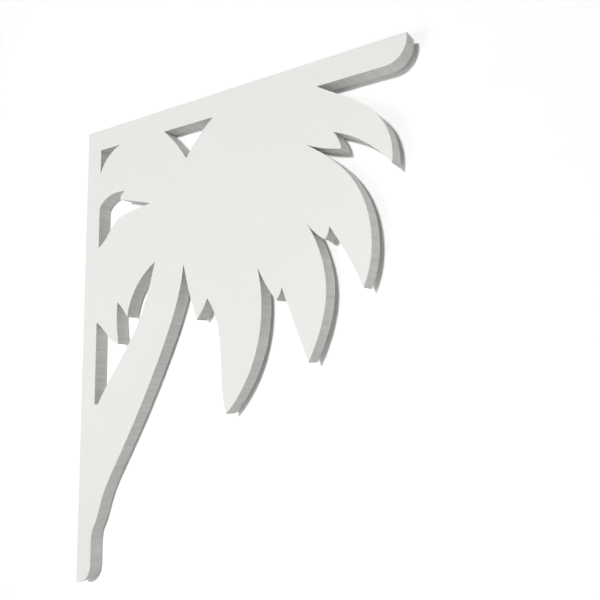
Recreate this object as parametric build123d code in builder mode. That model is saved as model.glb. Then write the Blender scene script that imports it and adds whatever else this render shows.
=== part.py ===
from build123d import *
import os

# Corner bracket for a porch, cut from one flat board: a leg that stands against the post,
# a bar that lies under the beam, and a palm tree that fills the corner between them.
# X runs out from the post, Z runs up, and the origin is the top corner where post and beam meet.
# Y runs through the board, with the origin at the middle of its thickness.

os.makedirs("parts", exist_ok=True)

# Frame, in millimetres
board_thickness = 19.0
leg_length = 610.0
leg_width = 27.0
bar_length = 482.0
bar_depth = 29.0
bar_end_round = 24.0
toe_round = 26.0

# Height above the toe at which the trunk's edge leaves the leg
foot_rise = 50.0

# Bow of the short leaflets' edges between their ends
leaflet_bow = 1.5

# The palm is drawn from the inner corner of the frame: across from the leg, up from the bar's underside.
# Its right-hand fronds follow each other from the bar round to the trunk. Each has an upper edge, a tip,
# a lower edge and the notch that ends it, then the tip of a short leaflet and the end of a slit.
frond_under_bar = dict(
    upper=[(381.5, -18), (420, -47)],
    tip=(436, -102),
    lower=[(406, -73.5)],
    notch=(370.5, -55.5),
    leaflet=(379.5, -75.5),
    slit=(336, -62.5),
)
frond_long = dict(
    upper=[(365.5, -82.5), (395, -114.5), (411.5, -164)],
    tip=(402, -223),
    lower=[(387.5, -194)],
    notch=(363.5, -155.5),
    leaflet=(358, -169),
    slit=(336.5, -150),
)
frond_middle = dict(
    upper=[(353.5, -186), (359, -222), (349.5, -268)],
    tip=(336.5, -297),
    lower=[(319.5, -256)],
    notch=(303, -215),
    leaflet=(295.5, -229),
    slit=(270.5, -190.5),
)
frond_hanging = dict(
    upper=[(276, -229), (273, -266), (253, -319)],
    tip=(226, -354),
    lower=[(218.5, -303.5), (211, -247)],
    notch=(196.5, -220),
    leaflet=(180.5, -245),
    slit=(158, -175.5),
)
fronds = [frond_under_bar, frond_long, frond_middle, frond_hanging]
crown_end_under_bar = 330.0

# Right edge of the trunk: two points below the crown, then its lower bend, measured up from the foot
trunk_right = [(149, -218), (129, -268)]
trunk_bend = [(46.5, 111), (18, 57.5), (7, 28)]
trunk_lean = (-0.1, -1)

# Pierced openings, drawn from the same inner corner
corner_opening = dict(across=39.0, down=33.5, bulge=(19, -10))
top_opening = dict(
    left=121.5,
    right=203.5,
    bottom=(160.5, -43),
    left_bulge=(143.5, -21),
    right_bulge=(181.5, -18.5),
)
side_opening = dict(
    top=-82.5,
    upper=[(9.5, -73.5), (32, -66)],
    notch=(49.5, -66.5),
    leaflet=(41, -76.5),
    slit=(98, -90.5),
    lower=[(57.5, -96.5), (32, -107), (20, -120.5)],
    bottom=-138.0,
)
trunk_opening = dict(
    top=-240.5,
    first_leaf=[(12.5, -249), (23, -259)],
    first_tip=(44.5, -270.5),
    first_back=[(40, -239)],
    notch=(40.5, -215.5),
    second_tip=(60, -236),
    second_back=[(75.5, -198), (91, -181)],
    slit=(108.5, -168),
    trunk_left=[(96, -209.5), (82.5, -241), (50.5, -288.5), (22, -326.5)],
    bottom=(6.5, -349.5),
)

inner_corner = Plane(origin=(leg_width, 0, -bar_depth), x_dir=(1, 0, 0), z_dir=(0, -1, 0))
foot = (0, foot_rise + bar_depth - leg_length)

with BuildPart() as bracket:
    # Leg and bar, each with its free end rounded off on the inner side
    with BuildSketch(Plane.XZ) as frame:
        with BuildLine():
            Polyline(
                (0, 0),
                (bar_length, 0),
                (bar_length, -bar_depth),
                (leg_width, -bar_depth),
                (leg_width, -leg_length),
                (0, -leg_length),
                close=True,
            )
        make_face()
        bar_end = frame.vertices().group_by(Axis.X)[-1].sort_by(Axis.Y)[0]
        fillet(bar_end, min(bar_end_round, bar_depth - 0.5))
        toe = frame.vertices().group_by(Axis.Y)[0].sort_by(Axis.X)[-1]
        fillet(toe, min(toe_round, leg_width - 0.5))
    extrude(amount=board_thickness / 2, both=True)

    # Palm: crown and trunk in one outline that runs on into the middle of the leg and of the bar
    with BuildSketch(inner_corner):
        with BuildLine():
            start = (crown_end_under_bar, bar_depth / 2)
            for frond in fronds:
                Spline(start, *frond["upper"], frond["tip"])
                Spline(frond["tip"], *frond["lower"], frond["notch"])
                SagittaArc(frond["notch"], frond["leaflet"], leaflet_bow)
                SagittaArc(frond["leaflet"], frond["slit"], leaflet_bow)
                start = frond["slit"]
            bend = [(across, foot[1] + up) for across, up in trunk_bend]
            Spline(start, *trunk_right, *bend, foot, tangents=(trunk_lean, (0, -1)))
            Polyline(
                foot,
                (-leg_width / 2, foot[1]),
                (-leg_width / 2, bar_depth / 2),
                (crown_end_under_bar, bar_depth / 2),
            )
        make_face()
    extrude(amount=board_thickness / 2, both=True)

    # Pierced openings between the fronds, the trunk and the frame
    with BuildSketch(inner_corner):
        # In the corner, under the shortest frond
        corner_right = (corner_opening["across"], 0)
        corner_bottom = (0, -corner_opening["down"])
        with BuildLine():
            Line((0, 0), corner_right)
            ThreePointArc(corner_right, corner_opening["bulge"], corner_bottom)
            Line(corner_bottom, (0, 0))
        make_face()

        # Under the bar, between two fronds that reach up to it
        top_left = (top_opening["left"], 0)
        top_right = (top_opening["right"], 0)
        with BuildLine():
            Line(top_left, top_right)
            ThreePointArc(top_right, top_opening["right_bulge"], top_opening["bottom"])
            ThreePointArc(top_opening["bottom"], top_opening["left_bulge"], top_left)
        make_face()

        # Beside the leg, with one leaflet over a long slit
        side_top = (0, side_opening["top"])
        side_bottom = (0, side_opening["bottom"])
        with BuildLine():
            Spline(side_top, *side_opening["upper"], side_opening["notch"])
            SagittaArc(side_opening["notch"], side_opening["leaflet"], -leaflet_bow)
            Line(side_opening["leaflet"], side_opening["slit"])
            Spline(side_opening["slit"], *side_opening["lower"], side_bottom)
            Line(side_bottom, side_top)
        make_face()

        # Between the leg and the trunk, with two leaves hanging into it
        trunk_opening_top = (0, trunk_opening["top"])
        trunk_opening_end = (0, trunk_opening["bottom"][1])
        with BuildLine():
            Spline(trunk_opening_top, *trunk_opening["first_leaf"], trunk_opening["first_tip"])
            Spline(trunk_opening["first_tip"], *trunk_opening["first_back"], trunk_opening["notch"])
            SagittaArc(trunk_opening["notch"], trunk_opening["second_tip"], leaflet_bow)
            Spline(trunk_opening["second_tip"], *trunk_opening["second_back"], trunk_opening["slit"])
            Spline(trunk_opening["slit"], *trunk_opening["trunk_left"], trunk_opening["bottom"])
            Polyline(trunk_opening["bottom"], trunk_opening_end, trunk_opening_top)
        make_face()
    extrude(amount=board_thickness / 2, both=True, mode=Mode.SUBTRACT)

bracket.part.label = "bracket"
export_step(bracket.part, "parts/bracket.step")
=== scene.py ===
import math

import bmesh
import bpy
from mathutils import Matrix, Vector


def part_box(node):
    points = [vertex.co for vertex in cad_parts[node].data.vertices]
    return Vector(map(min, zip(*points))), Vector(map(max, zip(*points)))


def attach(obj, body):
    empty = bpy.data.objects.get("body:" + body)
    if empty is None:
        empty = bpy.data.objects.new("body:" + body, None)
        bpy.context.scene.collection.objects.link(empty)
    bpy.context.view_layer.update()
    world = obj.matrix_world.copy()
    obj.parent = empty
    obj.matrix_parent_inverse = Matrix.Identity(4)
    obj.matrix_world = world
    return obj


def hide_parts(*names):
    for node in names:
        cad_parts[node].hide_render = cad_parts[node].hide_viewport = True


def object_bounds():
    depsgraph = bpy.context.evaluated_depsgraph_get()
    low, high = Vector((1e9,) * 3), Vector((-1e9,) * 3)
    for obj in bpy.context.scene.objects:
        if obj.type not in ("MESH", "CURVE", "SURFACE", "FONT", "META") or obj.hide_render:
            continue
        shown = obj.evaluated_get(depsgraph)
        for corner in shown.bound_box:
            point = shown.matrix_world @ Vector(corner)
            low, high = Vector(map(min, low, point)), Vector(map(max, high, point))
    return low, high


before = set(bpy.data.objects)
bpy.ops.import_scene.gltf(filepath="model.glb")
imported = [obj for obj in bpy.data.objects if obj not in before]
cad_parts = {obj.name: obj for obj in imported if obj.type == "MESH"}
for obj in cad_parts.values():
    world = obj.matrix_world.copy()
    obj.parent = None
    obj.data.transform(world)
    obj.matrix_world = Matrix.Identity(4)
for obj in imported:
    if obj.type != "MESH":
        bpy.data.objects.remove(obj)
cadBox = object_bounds()
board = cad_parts["bracket"]
print("frame loaded:", len(board.data.polygons), "triangles on the board")


# Shared helpers

plainWhite = (1.0, 1.0, 1.0, 1.0)


def metres(sizeMm):
    return sizeMm / 1000


def linearColour(hexColour):
    # sRGB hex to the linear colour that the shader sockets take
    channels = [int(hexColour[i:i + 2], 16) / 255 for i in (0, 2, 4)]
    linear = [c / 12.92 if c <= 0.04045 else ((c + 0.055) / 1.055) ** 2.4 for c in channels]
    return (*linear, 1.0)


def addNode(tree, kind, settings=None, values=None, links=None):
    # one node with its settings, its socket values and what feeds its inputs
    node = tree.nodes.new(kind)
    for name, value in (settings or {}).items():
        setattr(node, name, value)
    for socket, value in (values or {}).items():
        node.inputs[socket].default_value = value
    for socket, source in (links or {}).items():
        tree.links.new(source, node.inputs[socket])
    return node


def newMaterial(name):
    material = bpy.data.materials.new(name)
    material.use_nodes = True
    tree = material.node_tree
    tree.nodes.clear()
    return material, tree


# The board's form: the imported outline, with its arrises eased

boardForm = {
    "arrisMm": 0.6,              # a light pass of sanding paper along every edge
    "arrisSteps": 3,
    "arrisProfile": 0.5,         # a plain round
    "smoothDegrees": 32.0,       # curved walls shade smooth, corners stay crisp
    "straightDegrees": 0.1,      # edges that turn by less than this are merged into one
    "mergeMm": 0.01,
    "squareOn": 0.9,             # faces that look along Y by more than this are the board's flat ones
}


def selectAllButShownSide(thing, squareOn):
    # in edit mode, selects all faces but those of the board's shown side
    bpy.ops.mesh.select_mode(type="FACE")
    bpy.ops.mesh.select_all(action="DESELECT")
    form = bmesh.from_edit_mesh(thing.data)
    form.normal_update()
    for face in form.faces:
        face.select_set(face.normal.y > -squareOn)
    bmesh.update_edit_mesh(thing.data)


def selectArrises(thing, squareOn):
    # in edit mode, selects the edges where the flat faces meet the cut edge
    bpy.ops.mesh.select_mode(type="EDGE")
    bpy.ops.mesh.select_all(action="DESELECT")
    form = bmesh.from_edit_mesh(thing.data)
    form.normal_update()
    for edge in form.edges:
        flat = [abs(face.normal.y) > squareOn for face in edge.link_faces]
        edge.select_set(len(flat) == 2 and flat[0] != flat[1])
    bmesh.update_edit_mesh(thing.data)


def easedBoard(node, look):
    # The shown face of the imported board, pushed back through the board's thickness and eased at its arrises
    front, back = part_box("bracket")
    form = bpy.data.objects.new("fretworkBoard", node.data.copy())
    bpy.context.scene.collection.objects.link(form)
    bpy.ops.object.select_all(action="DESELECT")
    form.select_set(True)
    bpy.context.view_layer.objects.active = form

    bpy.ops.object.mode_set(mode="EDIT")
    bpy.ops.mesh.select_all(action="SELECT")
    bpy.ops.mesh.remove_doubles(threshold=metres(look["mergeMm"]))
    selectAllButShownSide(form, look["squareOn"])
    bpy.ops.mesh.delete(type="FACE")
    bpy.ops.mesh.select_all(action="SELECT")
    bpy.ops.mesh.dissolve_limited(angle_limit=math.radians(look["straightDegrees"]))
    bpy.ops.mesh.select_all(action="SELECT")
    bpy.ops.mesh.extrude_region_move(TRANSFORM_OT_translate={"value": (0, back[1] - front[1], 0)})
    bpy.ops.mesh.select_all(action="SELECT")
    bpy.ops.mesh.normals_make_consistent(inside=False)
    selectArrises(form, look["squareOn"])
    bpy.ops.mesh.bevel(offset=metres(look["arrisMm"]), offset_type="OFFSET", segments=look["arrisSteps"],
                       profile=look["arrisProfile"], clamp_overlap=True, miter_outer="ARC")
    bpy.ops.object.mode_set(mode="OBJECT")

    bpy.ops.object.shade_smooth_by_angle(angle=math.radians(look["smoothDegrees"]))
    levelled = form.modifiers.new("flatFacesStayFlat", "WEIGHTED_NORMAL")
    levelled.keep_sharp = True
    bpy.ops.object.modifier_apply(modifier=levelled.name)
    return form


boardPiece = easedBoard(board, boardForm)
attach(boardPiece, "root")
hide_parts("bracket")
print("board eased:", len(boardPiece.data.polygons), "faces")


# The board's finish: expanded PVC trim board

boardLook = {
    "skinColour": "EBEAE8",      # factory skin, white with a trace of warmth
    "coreColour": "E7E6E3",      # freshly cut core, a shade deeper than the skin
    "skinFadeMm": 0.125,         # depth at which the dense skin begins to turn into foam
    "skinMm": 0.5,               # depth at which it is all foamed core
    "skinRoughness": 0.48,
    "coreRoughness": 0.62,
    "ior": 1.53,                 # vinyl
    "mottleMm": 55.0,            # soft unevenness left by the calender rolls
    "mottleDetail": 3.0,
    "mottleRoughness": 0.55,
    "grainMm": 4.0,              # faint cloudiness of the skin and the core
    "grainDetail": 2.0,
    "grainRoughness": 0.6,
    "patternSpan": (0.6, 1.4),   # where mottle and grain together mostly lie
    "toneRange": 0.012,          # how far they lighten and darken the board
    "pebbleMm": 2.6,             # orange peel of the skin; the real one is about 0.8 mm, too fine to show
    "pebbleDepthMm": 0.03,
    "cellMm": 1.8,               # open cells of the core; the real ones are about 0.3 mm, too fine to show
    "cellDepthMm": 0.1,
    "rippleMm": 5.0,             # chatter of the router bit; the real marks are about 1 mm apart, too fine
    "rippleDepthMm": 0.12,
    "rippleStretch": 0.02,       # the marks run straight through the board
    "rippleSpan": (0.3, 0.7),    # where the ripple's noise mostly lies
    "rippleTones": (0.90, 1.04),  # its darkest and lightest tint of the core
    "softDetail": 1.0,           # detail of the noise for pebble and ripple
}


def perMetre(sizeMm):
    # the scale of a pattern on Object coordinates whose features are this wide
    return 1 / metres(sizeMm)


def reliefOf(tree, pattern, depthMm):
    # the pattern as a height in metres
    height = addNode(tree, "ShaderNodeMath", {"operation": "MULTIPLY"},
                     {1: metres(depthMm)}, {0: pattern})
    return height.outputs[0]


def cellularPvcMaterial(look):
    # Expanded PVC sheet, calendered to a smooth satin skin on both faces, cut to shape with a router bit.
    # The skin has a broad soft sheen and a faint pebble. The cut edge is duller, finely porous and rippled.
    material, tree = newMaterial("cellularPvcBoard")
    place = addNode(tree, "ShaderNodeTexCoord").outputs["Object"]

    # skin or cut core, told apart by the depth under the board's faces
    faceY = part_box("bracket")[1][1]
    split = addNode(tree, "ShaderNodeSeparateXYZ", links={"Vector": place})
    fromMiddle = addNode(tree, "ShaderNodeMath", {"operation": "ABSOLUTE"}, links={0: split.outputs["Y"]})
    coreMask = addNode(tree, "ShaderNodeMapRange", {"interpolation_type": "SMOOTHSTEP"}, {
        "From Min": faceY - metres(look["skinFadeMm"]), "From Max": faceY - metres(look["skinMm"])},
        {"Value": fromMiddle.outputs[0]})
    core = coreMask.outputs[0]

    # patterns: slow mottle, fine grain, pebble of the skin, cells and ripples of the core
    mottle = addNode(tree, "ShaderNodeTexNoise", values={
        "Scale": perMetre(look["mottleMm"]), "Detail": look["mottleDetail"],
        "Roughness": look["mottleRoughness"]}, links={"Vector": place})
    grain = addNode(tree, "ShaderNodeTexNoise", values={
        "Scale": perMetre(look["grainMm"]), "Detail": look["grainDetail"],
        "Roughness": look["grainRoughness"]}, links={"Vector": place})
    pebble = addNode(tree, "ShaderNodeTexNoise", values={
        "Scale": perMetre(look["pebbleMm"]), "Detail": look["softDetail"]}, links={"Vector": place})
    cells = addNode(tree, "ShaderNodeTexVoronoi", {"feature": "F1"},
                    {"Scale": perMetre(look["cellMm"])}, {"Vector": place})
    acrossBoard = addNode(tree, "ShaderNodeMapping", values={"Scale": (1.0, look["rippleStretch"], 1.0)},
                          links={"Vector": place})
    ripple = addNode(tree, "ShaderNodeTexNoise", values={
        "Scale": perMetre(look["rippleMm"]), "Detail": look["softDetail"]},
        links={"Vector": acrossBoard.outputs[0]})

    # colour: the ripples tint the core alone, the mottle and grain tint both
    rippleTone = addNode(tree, "ShaderNodeMapRange", values={
        "From Min": look["rippleSpan"][0], "From Max": look["rippleSpan"][1],
        "To Min": look["rippleTones"][0], "To Max": look["rippleTones"][1]},
        links={"Value": ripple.outputs["Fac"]})
    coreColour = addNode(tree, "ShaderNodeVectorMath", {"operation": "SCALE"},
                         {0: linearColour(look["coreColour"])[:3]}, {"Scale": rippleTone.outputs[0]})
    base = addNode(tree, "ShaderNodeMix", {"data_type": "RGBA"}, {6: linearColour(look["skinColour"])},
                   {0: core, 7: coreColour.outputs[0]})
    patternSum = addNode(tree, "ShaderNodeMath", {"operation": "ADD"},
                         links={0: mottle.outputs["Fac"], 1: grain.outputs["Fac"]})
    tone = addNode(tree, "ShaderNodeMapRange", values={
        "From Min": look["patternSpan"][0], "From Max": look["patternSpan"][1],
        "To Min": 1 - look["toneRange"], "To Max": 1 + look["toneRange"]},
        links={"Value": patternSum.outputs[0]})
    colour = addNode(tree, "ShaderNodeVectorMath", {"operation": "SCALE"},
                     links={0: base.outputs[2], "Scale": tone.outputs[0]})
    roughness = addNode(tree, "ShaderNodeMapRange", values={
        "To Min": look["skinRoughness"], "To Max": look["coreRoughness"]}, links={"Value": core})

    # relief, its heights in metres
    coreRelief = addNode(tree, "ShaderNodeMath", {"operation": "ADD"}, links={
        0: reliefOf(tree, cells.outputs["Distance"], look["cellDepthMm"]),
        1: reliefOf(tree, ripple.outputs["Fac"], look["rippleDepthMm"])})
    skinRelief = reliefOf(tree, pebble.outputs["Fac"], look["pebbleDepthMm"])
    relief = addNode(tree, "ShaderNodeMix", {"data_type": "FLOAT"}, links={
        0: core, 2: skinRelief, 3: coreRelief.outputs[0]})
    bump = addNode(tree, "ShaderNodeBump", values={"Strength": 1.0, "Distance": 1.0},
                   links={"Height": relief.outputs[0]})

    shader = addNode(tree, "ShaderNodeBsdfPrincipled", values={"IOR": look["ior"], "Metallic": 0.0}, links={
        "Base Color": colour.outputs[0], "Roughness": roughness.outputs[0], "Normal": bump.outputs[0]})
    addNode(tree, "ShaderNodeOutputMaterial", links={"Surface": shader.outputs[0]})
    return material


boardPiece.data.materials.clear()
boardPiece.data.materials.append(cellularPvcMaterial(boardLook))
print("board dressed:", boardPiece.data.materials[0].name)


# Floor, wall and light

studio = {
    "floorColour": "C8C7C4",
    "floorDrop": 0.09,           # metres from the toe down to the floor
    "floorSize": 14.0,
    "floorWhite": 0.95,          # how much of the floor the lens sees as plain white
    "wallSize": 14.0,
    "wallGap": 0.0003,           # metres from the leg's back to the wall
    "wallTurn": 0.7,             # degrees; the wall draws away from the board towards the bar's end
    "wallNear": 0.6,             # metres from the leg's middle within which the wall is seen as it is lit
    "wallFar": 0.9,              # and beyond which it is plain white
    "wallSeen": 1.13,            # the wall's whiteness to the lens
    "wallBounce": 0.62,          # and how much of its light it throws back onto the cut edges
    "ambient": 0.1,              # the world's light on the board
    "keyPower": 77.0,            # soft lamp in front, a little above the board
    "keySize": 0.32,
    "keyPlace": (0.05, -3.5, 0.35),
    "lowPower": 1.4,             # weak lamp in front of the leg, low down, which lightens the lower left
    "lowSize": 0.36,
    "lowPlace": (-0.05, -0.9, -0.5),
    "fillPower": 0.6,            # low at the right, along the cut edges
    "fillSize": 0.3,
    "fillPlace": (0.9, -0.1, -0.64),
    "backPower": 105.0,          # large soft lamp behind, for the board's back
    "backSize": 2.2,
    "backPlace": (0.24, 3.2, 0.1),
    "backReach": 1.5,            # a lamp's light on what the lens sees has a ray depth under this
}


def seenDirectly(tree):
    # 1 for what the lens sees, also in a sheen or through glass, and 0 for the light thrown on the board
    path = addNode(tree, "ShaderNodeLightPath")
    lensOrSheen = addNode(tree, "ShaderNodeMath", {"operation": "MAXIMUM"}, links={
        0: path.outputs["Is Camera Ray"], 1: path.outputs["Is Glossy Ray"]})
    withGlass = addNode(tree, "ShaderNodeMath", {"operation": "MAXIMUM"}, links={
        0: lensOrSheen.outputs[0], 1: path.outputs["Is Transmission Ray"]})
    return withGlass.outputs[0]


def mattFloor(name, look):
    # Matt painted studio floor. The lens sees it nearly white, and shadows on it stay readable.
    material, tree = newMaterial(name)
    paint = addNode(tree, "ShaderNodeBsdfDiffuse", values={"Color": linearColour(look["floorColour"])})
    white = addNode(tree, "ShaderNodeEmission", values={"Color": plainWhite, "Strength": 1.0})
    share = addNode(tree, "ShaderNodeMath", {"operation": "MULTIPLY"}, {1: look["floorWhite"]},
                    {0: seenDirectly(tree)})
    surface = addNode(tree, "ShaderNodeMixShader", links={
        0: share.outputs[0], 1: paint.outputs[0], 2: white.outputs[0]})
    addNode(tree, "ShaderNodeOutputMaterial", links={"Surface": surface.outputs[0]})
    return material


def whiteWall(name, look):
    # White painted wall that is there from the front only, so that the board's back can be seen too.
    # The lens sees the lamps' light on it round the board, and plain white further out. Glossy and
    # transmission rays pass it by and meet the white world.
    material, tree = newMaterial(name)
    seen = addNode(tree, "ShaderNodeLightPath").outputs["Is Camera Ray"]
    level = addNode(tree, "ShaderNodeMapRange", {"clamp": False},
                    {"To Min": look["wallBounce"], "To Max": look["wallSeen"]}, {"Value": seen})
    paint = addNode(tree, "ShaderNodeBsdfDiffuse", links={"Color": level.outputs[0]})
    white = addNode(tree, "ShaderNodeEmission", values={"Color": plainWhite, "Strength": 1.0})
    place = addNode(tree, "ShaderNodeTexCoord").outputs["Object"]
    away = addNode(tree, "ShaderNodeVectorMath", {"operation": "LENGTH"}, links={0: place})
    farOut = addNode(tree, "ShaderNodeMapRange", {"interpolation_type": "SMOOTHSTEP"},
                     {"From Min": look["wallNear"], "From Max": look["wallFar"]},
                     {"Value": away.outputs["Value"]})
    share = addNode(tree, "ShaderNodeMath", {"operation": "MULTIPLY"},
                    links={0: farOut.outputs[0], 1: seen})
    faded = addNode(tree, "ShaderNodeMixShader", links={
        0: share.outputs[0], 1: paint.outputs[0], 2: white.outputs[0]})
    clear = addNode(tree, "ShaderNodeBsdfTransparent")
    side = addNode(tree, "ShaderNodeNewGeometry")
    surface = addNode(tree, "ShaderNodeMixShader", links={
        0: side.outputs["Backfacing"], 1: faded.outputs[0], 2: clear.outputs[0]})
    addNode(tree, "ShaderNodeOutputMaterial", links={"Surface": surface.outputs[0]})
    return material


def addLamp(role, look, target):
    lampData = bpy.data.lights.new(role + "Lamp", "AREA")
    lampData.shape = "SQUARE"
    lampData.size = look[role + "Size"]
    lampData.energy = look[role + "Power"]
    lamp = bpy.data.objects.new(role + "Lamp", lampData)
    lamp.location = look[role + "Place"]
    bpy.context.scene.collection.objects.link(lamp)
    direction = Vector(target) - lamp.location
    lamp.rotation_euler = direction.to_track_quat("-Z", "Y").to_euler()
    return lampData


lowest, highest = cadBox
middle = (lowest + highest) / 2

bpy.ops.object.select_all(action="DESELECT")
bpy.ops.mesh.primitive_plane_add(size=studio["floorSize"],
                                 location=(middle.x, 0, lowest.z - studio["floorDrop"]))
floor = bpy.context.object
floor.name = "studioFloor"
floor.data.materials.append(mattFloor("mattStudioFloor", studio))

# the upright wall that the board hangs on takes its contact shadow and lightens its cut edges from behind
bpy.ops.object.select_all(action="DESELECT")
bpy.ops.mesh.primitive_plane_add(size=studio["wallSize"],
                                 rotation=(math.radians(90), 0, math.radians(studio["wallTurn"])),
                                 location=(0, highest.y + studio["wallGap"], middle.z))
wall = bpy.context.object
wall.name = "studioWall"
wall.data.materials.append(whiteWall("mattStudioWall", studio))
for rays in ("glossy", "transmission", "volume_scatter", "shadow"):
    setattr(wall, "visible_" + rays, False)

world = bpy.data.worlds.new("studioWorld")
world.use_nodes = True
worldTree = world.node_tree
worldTree.nodes.clear()
worldLevel = addNode(worldTree, "ShaderNodeMapRange", values={
    "To Min": studio["ambient"], "To Max": 1.0}, links={"Value": seenDirectly(worldTree)})
worldLight = addNode(worldTree, "ShaderNodeBackground", values={"Color": plainWhite},
                     links={"Strength": worldLevel.outputs[0]})
addNode(worldTree, "ShaderNodeOutputWorld", links={"Surface": worldLight.outputs[0]})
bpy.context.scene.world = world

for role in ("key", "low", "fill"):
    addLamp(role, studio, middle)

# the back lamp shows the board's back, and none of its light is thrown on to creep in behind the fronds
backData = addLamp("back", studio, middle)
backData.use_nodes = True
backTree = backData.node_tree
backTree.nodes.clear()
backPath = addNode(backTree, "ShaderNodeLightPath")
firstHit = addNode(backTree, "ShaderNodeMath", {"operation": "LESS_THAN"}, {1: studio["backReach"]},
                   {0: backPath.outputs["Ray Depth"]})
backGlow = addNode(backTree, "ShaderNodeEmission", links={"Strength": firstHit.outputs[0]})
addNode(backTree, "ShaderNodeOutputLight", links={"Surface": backGlow.outputs[0]})
print("studio lit")


# Camera, at the photograph's viewing angle

shot = {
    "place": (0.6964, -0.5442, -0.3264),   # right of the board and just under its middle, in metres
    "yaw": 32.65,                          # degrees, turned left from straight on
    "tilt": 6.0,                           # degrees, looking slightly up from level
    "roll": -0.49,
    "lensMm": 36.11,
    "sensorMm": 36.0,
}

cameraData = bpy.data.cameras.new("shotCamera")
cameraData.sensor_width = shot["sensorMm"]
cameraData.lens = shot["lensMm"]
camera = bpy.data.objects.new("shotCamera", cameraData)
bpy.context.scene.collection.objects.link(camera)
turn = (Matrix.Rotation(math.radians(shot["yaw"]), 4, "Z")
        @ Matrix.Rotation(math.radians(90 + shot["tilt"]), 4, "X")    # a camera turned by 90 looks level
        @ Matrix.Rotation(math.radians(shot["roll"]), 4, "Z"))
camera.matrix_world = Matrix.Translation(shot["place"]) @ turn
bpy.context.scene.camera = camera
bpy.context.scene.view_settings.view_transform = "Standard"
print("camera set")
